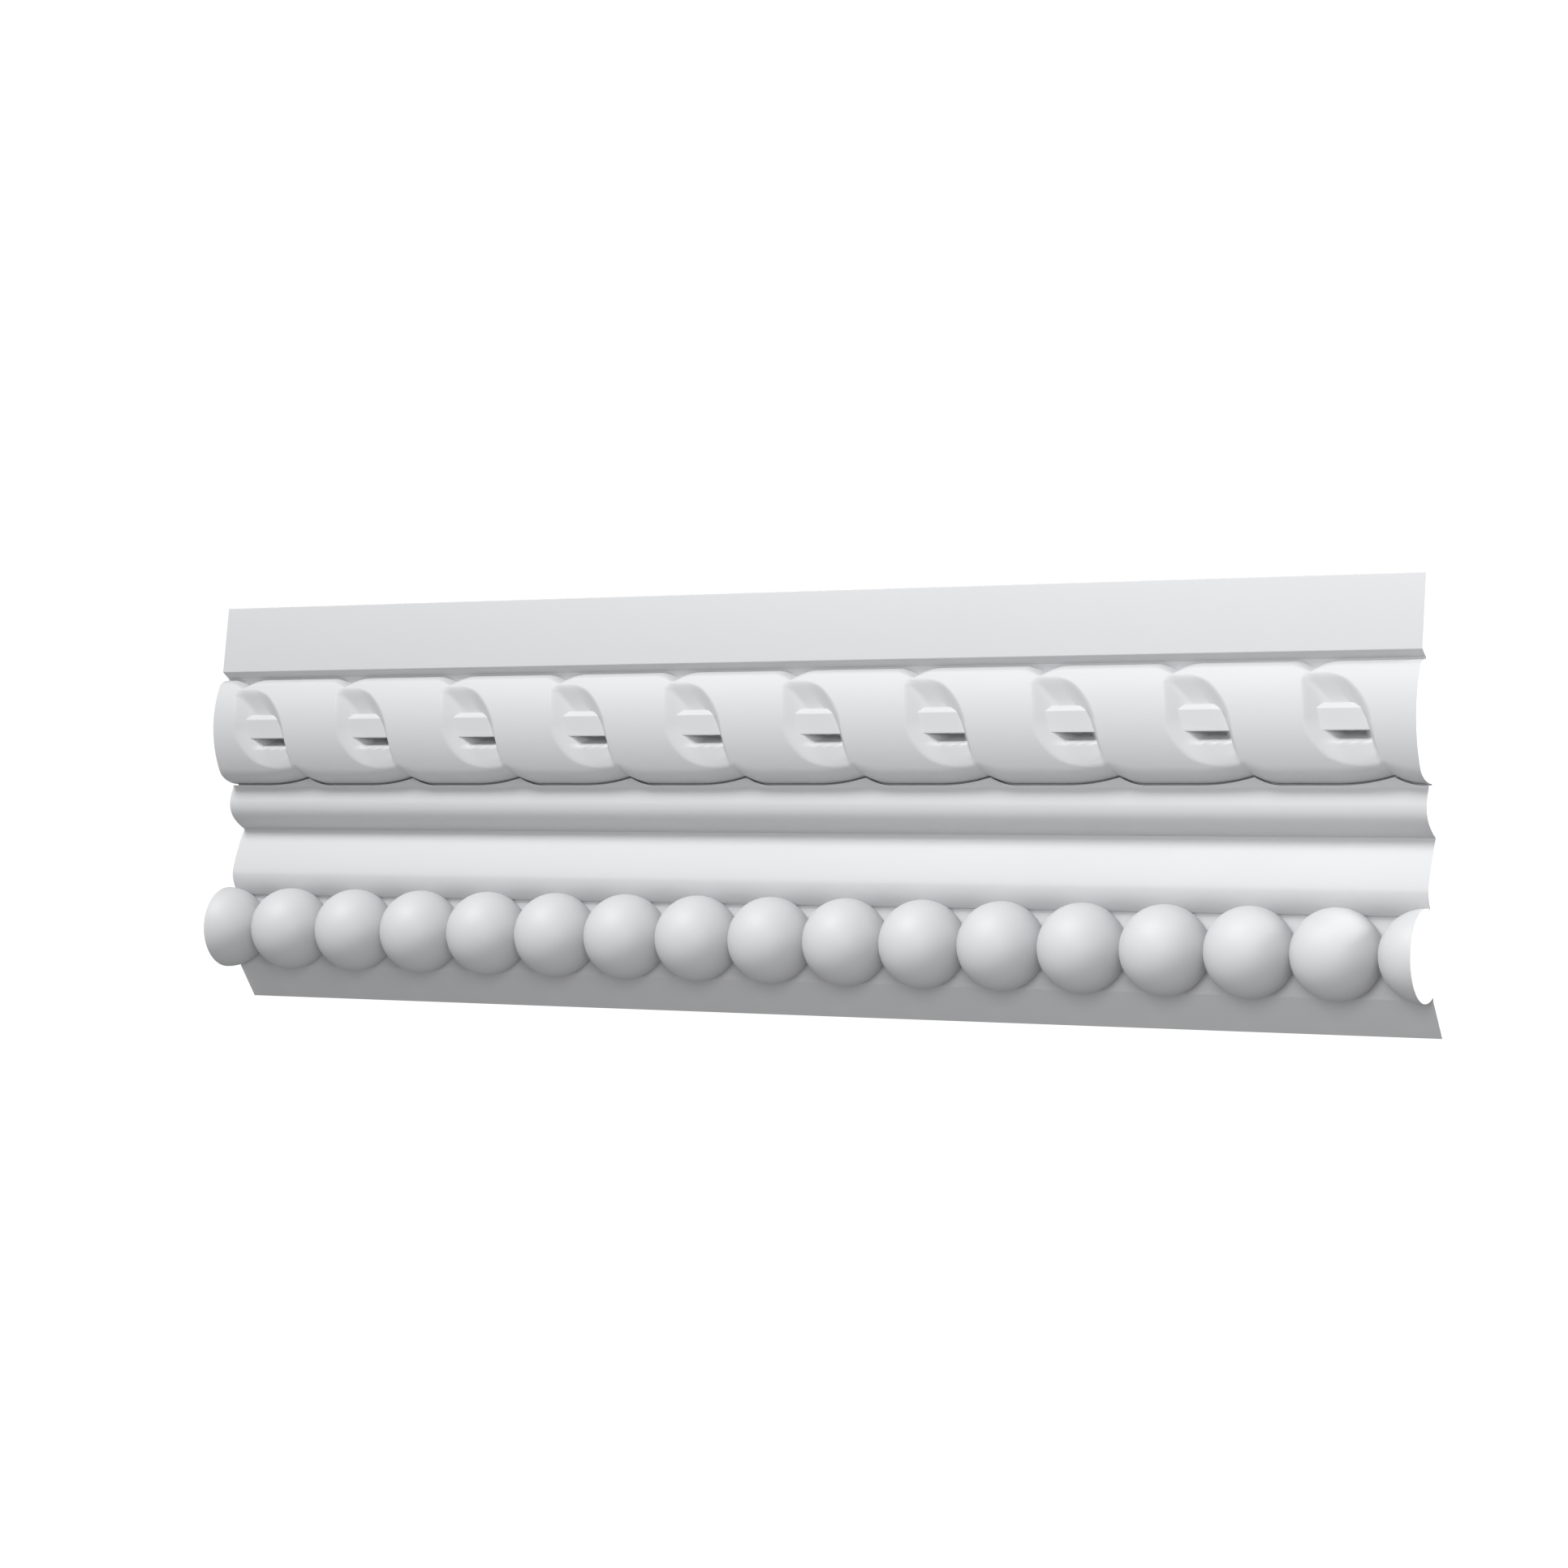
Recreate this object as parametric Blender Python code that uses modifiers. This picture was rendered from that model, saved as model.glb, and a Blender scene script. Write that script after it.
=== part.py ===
"""Frieze moulding with a ribbon wound on a stick above a row of beads: one cast piece with square ends.

The moulding runs along X. Its flat back is the wall plane y = 0 and its front looks towards -Y. The origin is
the middle of the back. A depth is measured forward from the back, and a height upward from the underside.
"""

import math

import bmesh
import bpy
from mathutils import Matrix

# Length of the piece, and how its two patterns repeat along it
LENGTH = 0.384
BEAD_PITCH = 0.024
RIBBON_TURN = 0.0384
FIRST_NOTCH = 0.0082  # from the left end to the first dip between two bands of the ribbon

# Heights of the members, from the underside up
BEVEL_HEIGHT = 0.0101
BEAD_BAND_HEIGHT = 0.0216
OVOLO_HEIGHT = 0.0203
TORUS_HEIGHT = 0.0135
RIBBON_BED_HEIGHT = 0.0328
SOFFIT_HEIGHT = 0.0020
FASCIA_HEIGHT = 0.0197

# Depths of the members in front of the back
BASE_DEPTH = 0.0154
BEAD_BED_DEPTH = 0.0226
OVOLO_FOOT_DEPTH = 0.0234
OVOLO_BELLY_DEPTH = 0.0264
LOWER_GROOVE_DEPTH = 0.0206
TORUS_DEPTH = 0.0277
UPPER_GROOVE_DEPTH = 0.0258
RIBBON_BED_DEPTH = 0.0282
SOFFIT_DEPTH = 0.0311
TOP_DEPTH = 0.0282

# Where the two round members stand furthest out, above their own feet
OVOLO_BELLY_HEIGHT = 0.0083
TORUS_BELLY_HEIGHT = 0.0081

# How full each half of the two round members is: 1 is straight, and a higher power is fuller
OVOLO_LOWER_POWER = 2.0
OVOLO_UPPER_POWER = 1.6
TORUS_LOWER_POWER = 2.4
TORUS_UPPER_POWER = 1.5

# Beads: each runs a little into the next
BEAD_DIAMETER = 0.0244
BEAD_CENTRE_DEPTH = 0.0283
BEAD_CENTRE_HEIGHT = 0.0118  # above the foot of its bed

# Ribbon: its axis and the round of its outer face
RIBBON_AXIS_HEIGHT = 0.0173  # above the foot of its bed
RIBBON_FACE_DEPTH = 0.0359
RIBBON_FACE_RADIUS = 0.0282
RIBBON_TOP_GAP = 0.0005
RIBBON_EDGE_ROUND = 0.0014
RIBBON_EDGE_BURIED = 0.0004  # how far its edge runs into the bed behind it
RIBBON_FOOT_BURIED = 0.0003  # how far its foot runs into the round member below it

# Outline of the ribbon: it dips at the notch on top and at the cusp below, where one band goes under the next
NOTCH_SHIFT = 0.0016
NOTCH_FALL = 0.0014
NOTCH_LEFT_RUN = 0.0060
NOTCH_RIGHT_RUN = 0.0075
CUSP_FROM_NOTCH = 0.0211
CUSP_FALL = 0.0022
CUSP_LEFT_RUN = 0.0150
CUSP_RIGHT_RUN = 0.0080
TONGUE_RUN = 0.0120
TONGUE_DROP = 0.0018
TONGUE_REACH = 0.0030  # how far inside the opening's tips the tongues begin to dive

# Openings between the bands, measured right of the notch and from the ribbon's axis
OPENING_WIDTH = 0.0189
OPENING_SHIFT = 0.0007
OPENING_HEAD_MARGIN = 0.0020  # below the ribbon's top edge
OPENING_FOOT_MARGIN = 0.0038  # above its bottom edge
OPENING_CORNER = 0.0024
EDGE_SWEEP = 0.0158  # how far an edge of the band runs along, from mid-height to its tip
EDGE_SWEEP_POWER = 1.5
LEFT_LEAN = 0.0030
LEFT_LEAN_POWER = 2.0
RIGHT_LEAN = 0.0036
RIGHT_LEAN_POWER = 1.2

# Inside an opening: the rolled right side of a band, the slanting left edge of the next, and the floor
ROLLED_RUN = 0.0046
ROLLED_DROP = 0.0072
ROLLED_POWER = 1.5
SLANT_RUN = 0.0020
STEEP_RUN = 0.0012
STEEPNESS = 5.0
FLOOR_DEPTH = 0.0272
FLOOR_RISE = 0.0014  # how much the floor comes forward by the top of the opening

# Stick inside the ribbon: a flat front and a slope on its top
STICK_ABOVE = 0.0030
STICK_BELOW = 0.0031
STICK_DEPTH = 0.0318
STICK_SLOPE_HEIGHT = 0.0011
STICK_SLOPE_FALL = 0.0018

# How finely the curved members are cut
OVOLO_STEPS = 7
TORUS_STEPS = 6
BEAD_SEGMENTS = 20
BEAD_RINGS = 12
OPENING_ROWS = 10
EDGE_LINE_STEPS = 24

# Where the ribbon's rows lie from an opening's tip out to the ribbon's edge, and where its columns lie on the
# rolled side and on the plain band
OUTER_ROWS = (0.45, 0.85, 1.0)
ROLLED_COLUMNS = (0.0, 0.25, 0.5, 0.75, 1.0)
BAND_COLUMNS = (0.25, 0.5, 0.75)
MOST_SIDE_SHARE = 0.45  # the most of an opening's width that one of its sides may take

# How far the joined shapes run into each other, and past the cut ends
BURIED = 0.0040
RUN_OUT = 0.0060
STICK_RUN_OUT = 0.0035

HEIGHT = (
    BEVEL_HEIGHT + BEAD_BAND_HEIGHT + OVOLO_HEIGHT + TORUS_HEIGHT + RIBBON_BED_HEIGHT + SOFFIT_HEIGHT
    + FASCIA_HEIGHT
)
OVOLO_FOOT = BEVEL_HEIGHT + BEAD_BAND_HEIGHT
TORUS_FOOT = OVOLO_FOOT + OVOLO_HEIGHT
RIBBON_FOOT = TORUS_FOOT + TORUS_HEIGHT
RIBBON_HEAD = RIBBON_FOOT + RIBBON_BED_HEIGHT
RIBBON_AXIS = RIBBON_FOOT + RIBBON_AXIS_HEIGHT
RIBBON_RISE = RIBBON_HEAD - RIBBON_TOP_GAP - RIBBON_AXIS
RIBBON_FALL = RIBBON_AXIS - RIBBON_FOOT + RIBBON_FOOT_BURIED
OPENING_HEAD = RIBBON_RISE - OPENING_HEAD_MARGIN
OPENING_FOOT = RIBBON_FALL - OPENING_FOOT_MARGIN
BEAD_LEVEL = BEVEL_HEIGHT + BEAD_CENTRE_HEIGHT - HEIGHT / 2

PLASTER = (0.80, 0.80, 0.80)
PLASTER_ROUGHNESS = 0.6


def clear_scene():
    for obj in list(bpy.data.objects):
        bpy.data.objects.remove(obj, do_unlink=True)


def collection(name):
    made = bpy.data.collections.new(name)
    bpy.context.scene.collection.children.link(made)
    return made


def add_object(name, mesh, home):
    obj = bpy.data.objects.new(name, mesh)
    home.objects.link(obj)
    return obj


def plaster_material():
    """Matt white casting plaster."""
    material = bpy.data.materials.new("white_plaster")
    material.use_nodes = True
    shader = material.node_tree.nodes["Principled BSDF"]
    shader.inputs["Base Color"].default_value = (*PLASTER, 1.0)
    shader.inputs["Roughness"].default_value = PLASTER_ROUGHNESS
    material.diffuse_color = (*PLASTER, 1.0)
    return material


def smooth_step(t):
    t = min(1.0, max(0.0, t))
    return t * t * (3.0 - 2.0 * t)


def swell(foot, belly, head, lower_power, upper_power, steps):
    """Points up a round member, each (depth, height), from just above its foot to just below its head."""
    points = []
    for i in range(1, 2 * steps):
        t = i / steps - 1.0
        end, power = (foot, lower_power) if t < 0 else (head, upper_power)
        depth = belly[0] - (belly[0] - end[0]) * abs(t) ** power
        height = belly[1] + (end[1] - belly[1]) * abs(t)
        points.append((depth, height))
    return points


def section():
    """The plain section of the moulding, each point (depth, height), without beads and ribbon."""
    ovolo_foot = (OVOLO_FOOT_DEPTH, OVOLO_FOOT)
    ovolo_belly = (OVOLO_BELLY_DEPTH, OVOLO_FOOT + OVOLO_BELLY_HEIGHT)
    lower_groove = (LOWER_GROOVE_DEPTH, TORUS_FOOT)
    torus_belly = (TORUS_DEPTH, TORUS_FOOT + TORUS_BELLY_HEIGHT)
    upper_groove = (UPPER_GROOVE_DEPTH, RIBBON_FOOT)
    ovolo = swell(ovolo_foot, ovolo_belly, lower_groove, OVOLO_LOWER_POWER, OVOLO_UPPER_POWER, OVOLO_STEPS)
    torus = swell(lower_groove, torus_belly, upper_groove, TORUS_LOWER_POWER, TORUS_UPPER_POWER, TORUS_STEPS)
    return [
        (0.0, 0.0),
        (BASE_DEPTH, 0.0),
        (BEAD_BED_DEPTH, BEVEL_HEIGHT),
        (BEAD_BED_DEPTH, OVOLO_FOOT),
        ovolo_foot,
        *ovolo,
        lower_groove,
        *torus,
        upper_groove,
        (RIBBON_BED_DEPTH, RIBBON_HEAD),
        (SOFFIT_DEPTH, RIBBON_HEAD + SOFFIT_HEIGHT),
        (TOP_DEPTH, HEIGHT),
        (0.0, HEIGHT),
    ]


def mesh_of_curve(curve_object, name, home):
    """A mesh object of the curve's filled outline, with its caps welded on, in the curve's place."""
    evaluated = curve_object.evaluated_get(bpy.context.evaluated_depsgraph_get())
    mesh = bpy.data.meshes.new_from_object(evaluated)
    bm = bmesh.new()
    bm.from_mesh(mesh)
    bmesh.ops.remove_doubles(bm, verts=bm.verts, dist=1e-6)
    bmesh.ops.recalc_face_normals(bm, faces=bm.faces)
    bm.to_mesh(mesh)
    bm.free()
    mesh.name = name
    obj = add_object(name, mesh, home)
    obj.matrix_world = curve_object.matrix_world
    bpy.data.objects.remove(curve_object, do_unlink=True)
    return obj


def drawn_out(points, past_end, name, home):
    """A section, each point (depth, height), drawn out along X and a little past both cut ends."""
    curve = bpy.data.curves.new(name + "_section", "CURVE")
    curve.dimensions = "2D"
    curve.fill_mode = "BOTH"
    curve.extrude = LENGTH / 2 + past_end
    spline = curve.splines.new("POLY")
    spline.points.add(len(points) - 1)
    for point, (depth, height) in zip(spline.points, points):
        point.co = (depth, height - HEIGHT / 2, 0.0, 1.0)
    spline.use_cyclic_u = True
    guide = add_object(name + "_section", curve, home)
    guide.rotation_euler = (math.pi / 2, 0.0, -math.pi / 2)
    bpy.context.view_layer.update()
    return mesh_of_curve(guide, name, home)


def bead_row(name, first, home):
    """Every second bead from the first, so that no two of one row meet. Bead 0 is centred on the left end.

    The second row is turned by half a segment, so that no edges of two beads fall together where they meet.
    """
    bm = bmesh.new()
    bmesh.ops.create_uvsphere(bm, u_segments=BEAD_SEGMENTS, v_segments=BEAD_RINGS, radius=BEAD_DIAMETER / 2)
    half_segment = Matrix.Rotation(first * math.pi / BEAD_SEGMENTS, 4, "Z")
    bmesh.ops.transform(bm, matrix=half_segment, verts=bm.verts)
    for vert in bm.verts:
        across, up, out = vert.co
        vert.co = (first * BEAD_PITCH - LENGTH / 2 + across, -BEAD_CENTRE_DEPTH - out, BEAD_LEVEL + up)
    row = object_of(bm, name, home)
    repeat = row.modifiers.new("row", "ARRAY")
    repeat.use_relative_offset = False
    repeat.use_constant_offset = True
    repeat.constant_offset_displace = (2 * BEAD_PITCH, 0.0, 0.0)
    last = int((LENGTH + BEAD_DIAMETER / 2) / BEAD_PITCH)
    repeat.count = (last - first) // 2 + 1
    return row


def left_edge(rise):
    """Where an opening starts, right of the notch, at a height above the ribbon's axis."""
    swept = (min(1.0, max(0.0, -rise) / OPENING_FOOT)) ** EDGE_SWEEP_POWER
    lean = LEFT_LEAN * (max(0.0, rise) / RIBBON_RISE) ** LEFT_LEAN_POWER
    return EDGE_SWEEP * (1.0 - math.sqrt(1.0 - swept)) - lean - OPENING_SHIFT


def right_edge(rise):
    """Where an opening ends, right of the notch, at a height above the ribbon's axis."""
    swept = (min(1.0, max(0.0, rise) / OPENING_HEAD)) ** EDGE_SWEEP_POWER
    lean = RIGHT_LEAN * (max(0.0, -rise) / RIBBON_FALL) ** RIGHT_LEAN_POWER
    return OPENING_WIDTH - OPENING_SHIFT - EDGE_SWEEP * (1.0 - math.sqrt(1.0 - swept)) + lean


def edge_lines():
    """The edges of an opening as lines of points (x, rise): that of the left band, then of the right band."""
    steps = [i / EDGE_LINE_STEPS for i in range(EDGE_LINE_STEPS + 1)]
    down = [RIBBON_RISE - (RIBBON_RISE + OPENING_FOOT) * t for t in steps]
    left = [(left_edge(rise), rise) for rise in down]
    left.append((right_edge(OPENING_CORNER - OPENING_FOOT), OPENING_CORNER - OPENING_FOOT))
    down = [OPENING_HEAD - (OPENING_HEAD + RIBBON_FALL) * t for t in steps]
    right = [(right_edge(rise), rise) for rise in down]
    right.insert(0, (left_edge(OPENING_HEAD - OPENING_CORNER), OPENING_HEAD - OPENING_CORNER))
    return left, right


def distance_to(line, x, rise):
    """The least distance from a point to a line of points."""
    nearest = math.inf
    for (x0, rise0), (x1, rise1) in zip(line, line[1:]):
        run, climb = x1 - x0, rise1 - rise0
        t = ((x - x0) * run + (rise - rise0) * climb) / (run * run + climb * climb)
        t = min(1.0, max(0.0, t))
        nearest = min(nearest, math.hypot(x - x0 - t * run, rise - rise0 - t * climb))
    return nearest


def right_of_left_band(line, x, rise):
    """Whether a point is past the edge of the left band: right of it, and above its slanting corner."""
    (tip_x, tip_rise), (end_x, end_rise) = line[-2:]
    above_corner = (rise - tip_rise) * (end_x - tip_x) > (x - tip_x) * (end_rise - tip_rise)
    return rise > tip_rise and x > left_edge(rise) and above_corner


def left_of_right_band(line, x, rise):
    """Whether a point is past the edge of the right band: left of it, and below its slanting corner."""
    (end_x, end_rise), (tip_x, tip_rise) = line[:2]
    below_corner = (tip_rise - rise) * (tip_x - end_x) > (tip_x - x) * (tip_rise - end_rise)
    return rise < tip_rise and x < right_edge(rise) and below_corner


def ribbon_drop(lines, x, rise):
    """How far the surface lies behind the ribbon's round face, at x right of a notch and above the axis."""
    left_line, right_line = lines
    from_left = distance_to(left_line, x, rise)
    from_right = distance_to(right_line, x, rise)
    at_foot = smooth_step((-rise - OPENING_FOOT + TONGUE_REACH) / TONGUE_REACH)
    at_head = smooth_step((rise - OPENING_HEAD + TONGUE_REACH) / TONGUE_REACH)
    left_band = TONGUE_DROP * at_foot * smooth_step(1.0 - from_right / TONGUE_RUN)
    right_band = TONGUE_DROP * at_head * smooth_step(1.0 - from_left / TONGUE_RUN)
    if right_of_left_band(left_line, x, rise):
        left_band += ROLLED_DROP * (from_left / ROLLED_RUN) ** ROLLED_POWER
    if left_of_right_band(right_line, x, rise):
        right_band += from_right + STEEPNESS * max(0.0, from_right - SLANT_RUN)
    floor = FLOOR_DEPTH + FLOOR_RISE * (rise / OPENING_HEAD) ** 2
    return max(0.0, min(left_band, right_band, face_depth(rise) - floor))


def dip(from_dip, left_run, right_run):
    """Share of a dip's fall that is left at a distance right of its lowest point."""
    run = left_run if from_dip < 0 else right_run
    return max(0.0, 1.0 - abs(from_dip) / run) ** 2


def wrapped(x):
    """The distance right of the nearest repeat of a place, at most half a turn either way."""
    return (x + RIBBON_TURN / 2) % RIBBON_TURN - RIBBON_TURN / 2


def head_reach(x):
    """How far the ribbon reaches above its axis at x: less at the notch."""
    return RIBBON_RISE - NOTCH_FALL * dip(wrapped(x - NOTCH_SHIFT), NOTCH_LEFT_RUN, NOTCH_RIGHT_RUN)


def foot_reach(x):
    """How far the ribbon reaches below its axis at x: less at the cusp."""
    return RIBBON_FALL - CUSP_FALL * dip(wrapped(x - CUSP_FROM_NOTCH), CUSP_LEFT_RUN, CUSP_RIGHT_RUN)


def face_depth(rise):
    """The round outer face of the ribbon, at a height above its axis."""
    return RIBBON_FACE_DEPTH - RIBBON_FACE_RADIUS + math.sqrt(RIBBON_FACE_RADIUS**2 - rise**2)


def bed_depth(rise):
    """The flat bed behind the ribbon, at a height above its axis."""
    share = (rise + RIBBON_AXIS_HEIGHT) / RIBBON_BED_HEIGHT
    return UPPER_GROOVE_DEPTH + (RIBBON_BED_DEPTH - UPPER_GROOVE_DEPTH) * share


def inner_rises():
    """Heights of the rows between an opening's tips, closer together towards each tip."""
    middle = (OPENING_HEAD - OPENING_FOOT) / 2
    half = (OPENING_HEAD + OPENING_FOOT) / 2
    return [middle + half * math.sin(math.pi * (i / OPENING_ROWS - 0.5)) for i in range(OPENING_ROWS + 1)]


def slanted_run(edge, rise, run):
    """How far a run square to a slanting edge reaches along X, within its share of the opening."""
    step = run / 10
    slope = (edge(rise + step) - edge(rise - step)) / (2 * step)
    room = MOST_SIDE_SHARE * (right_edge(rise) - left_edge(rise))
    return min(run * math.hypot(1.0, slope), room)


def column_places(rise):
    """The columns of one turn, right of its notch: across the opening, then across the band."""
    left, right = left_edge(rise), right_edge(rise)
    rolled = slanted_run(left_edge, rise, ROLLED_RUN)
    steep = slanted_run(right_edge, rise, SLANT_RUN + STEEP_RUN)
    slanted = steep * SLANT_RUN / (SLANT_RUN + STEEP_RUN)
    places = [left + rolled * share for share in ROLLED_COLUMNS]
    places += [right - steep, right - slanted, right]
    places += [right + (left + RIBBON_TURN - right) * share for share in BAND_COLUMNS]
    return places


def ribbon_relief(name, home):
    """The ribbon as one carved strip: a grid over the bed, raised to the ribbon's surface, closed behind."""
    lines = edge_lines()
    inner = inner_rises()
    rows = len(inner) - 1 + 2 * len(OUTER_ROWS)
    columns = len(column_places(0.0))
    turns = math.ceil((LENGTH + 2 * RUN_OUT) / RIBBON_TURN) + 2
    bm = bmesh.new()
    bmesh.ops.create_grid(bm, x_segments=turns * columns, y_segments=rows, size=0.5)
    for vert in bm.verts:
        turn, column = divmod(round((vert.co.x + 0.5) * turns * columns), columns)
        row = round((vert.co.y + 0.5) * rows) - len(OUTER_ROWS)
        rise = inner[min(len(inner) - 1, max(0, row))]
        x = column_places(rise)[column]
        from_edge = min(foot_reach(x) + rise, head_reach(x) - rise)
        beyond = max(-row, row - len(inner) + 1)
        if beyond > 0:
            outward = from_edge * OUTER_ROWS[beyond - 1]
            rise += outward if row > 0 else -outward
            from_edge -= outward
        depth = face_depth(rise) - ribbon_drop(lines, x, rise)
        turned = 1.0 - min(1.0, from_edge / RIBBON_EDGE_ROUND)
        low = bed_depth(rise) - RIBBON_EDGE_BURIED
        depth = low + (depth - low) * math.sqrt(max(0.0, 1.0 - turned * turned))
        start = FIRST_NOTCH - LENGTH / 2 + (turn - 1) * RIBBON_TURN
        vert.co = (start + x, -depth, RIBBON_AXIS - HEIGHT / 2 + rise)
    back = bmesh.ops.extrude_face_region(bm, geom=bm.faces[:])
    for item in back["geom"]:
        if isinstance(item, bmesh.types.BMVert):
            item.co.y = BURIED - UPPER_GROOVE_DEPTH
    return object_of(bm, name, home)


def stick_section():
    """Section of the stick, each point (depth, height), with its back buried in the bed."""
    back = UPPER_GROOVE_DEPTH - BURIED
    low = RIBBON_AXIS - STICK_BELOW
    high = RIBBON_AXIS + STICK_ABOVE
    slope_end = high + STICK_SLOPE_HEIGHT
    return [
        (back, low),
        (STICK_DEPTH, low),
        (STICK_DEPTH, high),
        (STICK_DEPTH - STICK_SLOPE_FALL, slope_end),
        (back, slope_end),
    ]


def trim_box(name, home):
    """The length that is kept, with both ends square."""
    bm = bmesh.new()
    bmesh.ops.create_cube(bm, size=1.0)
    for vert in bm.verts:
        vert.co.x *= LENGTH
        vert.co.y *= 4 * RIBBON_FACE_DEPTH
        vert.co.z *= 2 * HEIGHT
    return object_of(bm, name, home)


def object_of(bm, name, home):
    bmesh.ops.recalc_face_normals(bm, faces=bm.faces)
    mesh = bpy.data.meshes.new(name)
    bm.to_mesh(mesh)
    bm.free()
    return add_object(name, mesh, home)


def join(body, shape, operation):
    """Joins a closed shape to the body, or keeps only what lies inside it."""
    shape.hide_render = True
    shape.display_type = "WIRE"
    modifier = body.modifiers.new(shape.name, "BOOLEAN")
    modifier.operation = operation
    modifier.solver = "EXACT"
    modifier.object = shape


def main():
    clear_scene()
    parts = collection("frieze")
    cutters = collection("cutters")
    cutters.hide_render = True

    moulding = drawn_out(section(), RUN_OUT, "frieze_moulding", parts)
    join(moulding, bead_row("even_beads", 0, cutters), "UNION")
    join(moulding, bead_row("odd_beads", 1, cutters), "UNION")
    join(moulding, drawn_out(stick_section(), STICK_RUN_OUT, "stick_bar", cutters), "UNION")
    join(moulding, ribbon_relief("ribbon_relief", cutters), "UNION")
    join(moulding, trim_box("trim_box", cutters), "INTERSECT")
    moulding.data.materials.append(plaster_material())
    moulding.data.shade_smooth()
    moulding.data.set_sharp_from_angle(angle=math.radians(30))


main()
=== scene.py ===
"""Looks of the ribbon-and-bead frieze moulding: the fine casting in white plaster, the studio and the camera.

The moulding runs along X, its flat back is the plane y = 0, and its front looks towards -Y. A depth is
measured forward from the back and a height upward from the underside, both in metres.
"""

import math

import bmesh
import bpy
import numpy as np
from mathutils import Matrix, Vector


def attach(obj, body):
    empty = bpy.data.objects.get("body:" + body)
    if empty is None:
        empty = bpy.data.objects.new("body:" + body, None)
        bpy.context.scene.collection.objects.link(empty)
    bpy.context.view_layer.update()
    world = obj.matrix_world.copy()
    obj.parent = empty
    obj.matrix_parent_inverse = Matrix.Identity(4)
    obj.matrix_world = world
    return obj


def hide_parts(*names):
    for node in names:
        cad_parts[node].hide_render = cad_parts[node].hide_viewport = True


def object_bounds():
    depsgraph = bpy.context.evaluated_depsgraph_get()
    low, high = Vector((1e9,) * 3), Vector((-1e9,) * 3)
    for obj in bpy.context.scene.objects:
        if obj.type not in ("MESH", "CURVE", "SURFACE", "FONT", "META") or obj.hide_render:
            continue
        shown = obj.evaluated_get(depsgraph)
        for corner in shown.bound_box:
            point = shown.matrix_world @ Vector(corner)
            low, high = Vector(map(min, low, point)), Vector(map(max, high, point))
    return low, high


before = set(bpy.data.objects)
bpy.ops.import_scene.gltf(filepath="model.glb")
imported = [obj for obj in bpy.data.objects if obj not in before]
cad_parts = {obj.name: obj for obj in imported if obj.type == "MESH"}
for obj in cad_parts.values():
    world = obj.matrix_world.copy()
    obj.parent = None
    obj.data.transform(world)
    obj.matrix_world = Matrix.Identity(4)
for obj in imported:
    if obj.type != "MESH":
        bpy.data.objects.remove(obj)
CAD_LOW, CAD_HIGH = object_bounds()

bl_info = {
    "name": "Ribbon and Bead Frieze",
    "version": (1, 0, 0),
    "blender": (4, 5, 0),
    "location": "View3D > Sidebar > Frieze",
    "description": "Builds a cast plaster frieze moulding with a ribbon on a stick and a row of beads",
    "category": "Add Mesh",
}

NODE = "frieze_moulding"
CASTING = "frieze_casting"
FULL_LENGTH = CAD_HIGH.x - CAD_LOW.x
FULL_HEIGHT = CAD_HIGH.z - CAD_LOW.z

# How full each half of a round member is, lower half first: 1 is straight, and a higher power is fuller
OVOLO_POWERS = (2.0, 1.3)
TORUS_POWERS = (2.4, 1.5)
SECTION_STEPS = 20

# How the ribbon's outline and the edges of its openings curve
DIP_POWER = 2.0
NOTCH_LEFT_POWER = 1.4
SWEEP_POWER = 1.5
LEFT_LEAN_POWER = 2
RIGHT_LEAN_POWER = 1.2
HEAD_ROUND_POWER = 2
FOOT_ROUND_POWER = 3

# Where a band starts to dive, inside the lower and the upper tip of an opening, and how that eases in
CUSP_DIVE_START = 0.005
CUSP_DIVE_EASE = 0.006
NOTCH_DIVE_START = 0.003
NOTCH_DIVE_EASE = 0.003

# Rolled side of a band: its rounded start, how much steeper it gets up to a height above the axis, and the
# wall that it turns into below the stick
ROLL_START = 0.0008
UPPER_ROLL_GAIN = 0.35
UPPER_ROLL_REACH = 0.008
PIT_WALL_SLOPE = 2.4
PIT_WALL_START = 0.0020
PIT_WALL_EASE = 0.001

# Slanting edge of a band: its rounded start, its slope at the lower tip and what that gains over a height
# above the tip, what it gains again from above the axis downward, and the slope of the steep side after it
SLANT_START = 0.0003
TIP_SLANT_SLOPE = 0.45
SLANT_SLOPE_GAIN = 0.39
SLANT_TIP_REACH = 0.006
LOWER_SLANT_GAIN = 1.3
LOWER_SLANT_START = 0.003
LOWER_SLANT_EASE = 0.010
STEEP_SLOPE = 5.0

# Floor of an opening: its curve above the stick, and the step behind the stick between its two parts
FLOOR_SWEEP_POWER = 1.6
FLOOR_STEP_START = 0.001
FLOOR_STEP_EASE = 0.003

# Widths over which two surfaces blend where they meet
BAND_BLEND = 0.0006
FLOOR_BLEND = 0.0010
FLOOR_EASE = 0.0010

# How the ribbon's mesh is laid out
MOST_SIDE_SHARE = 0.45  # the most of an opening's width that one of its sides may take
BAND_CROWDING = 0.12  # how much its columns draw together at the edges of a band
ROW_CROWDING = 1.6  # how much its rows draw together at the ribbon's upper and lower edge
EDGE_LINE_STEPS = 90
SHELF_ROWS = 4
SHELF_END = -0.0010  # height at which the shelf under the cusps starts, from the foot of the ribbon's bed

# How the shapes are joined: how far they run past the cut ends and into each other, and which edges stay sharp
RUN_OUT = 0.006
BURIED = 0.004
MOST_EASED_SHARE = 0.4  # the most of a side that the round of a corner may take
SHARP_ANGLE = math.radians(28)

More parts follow.
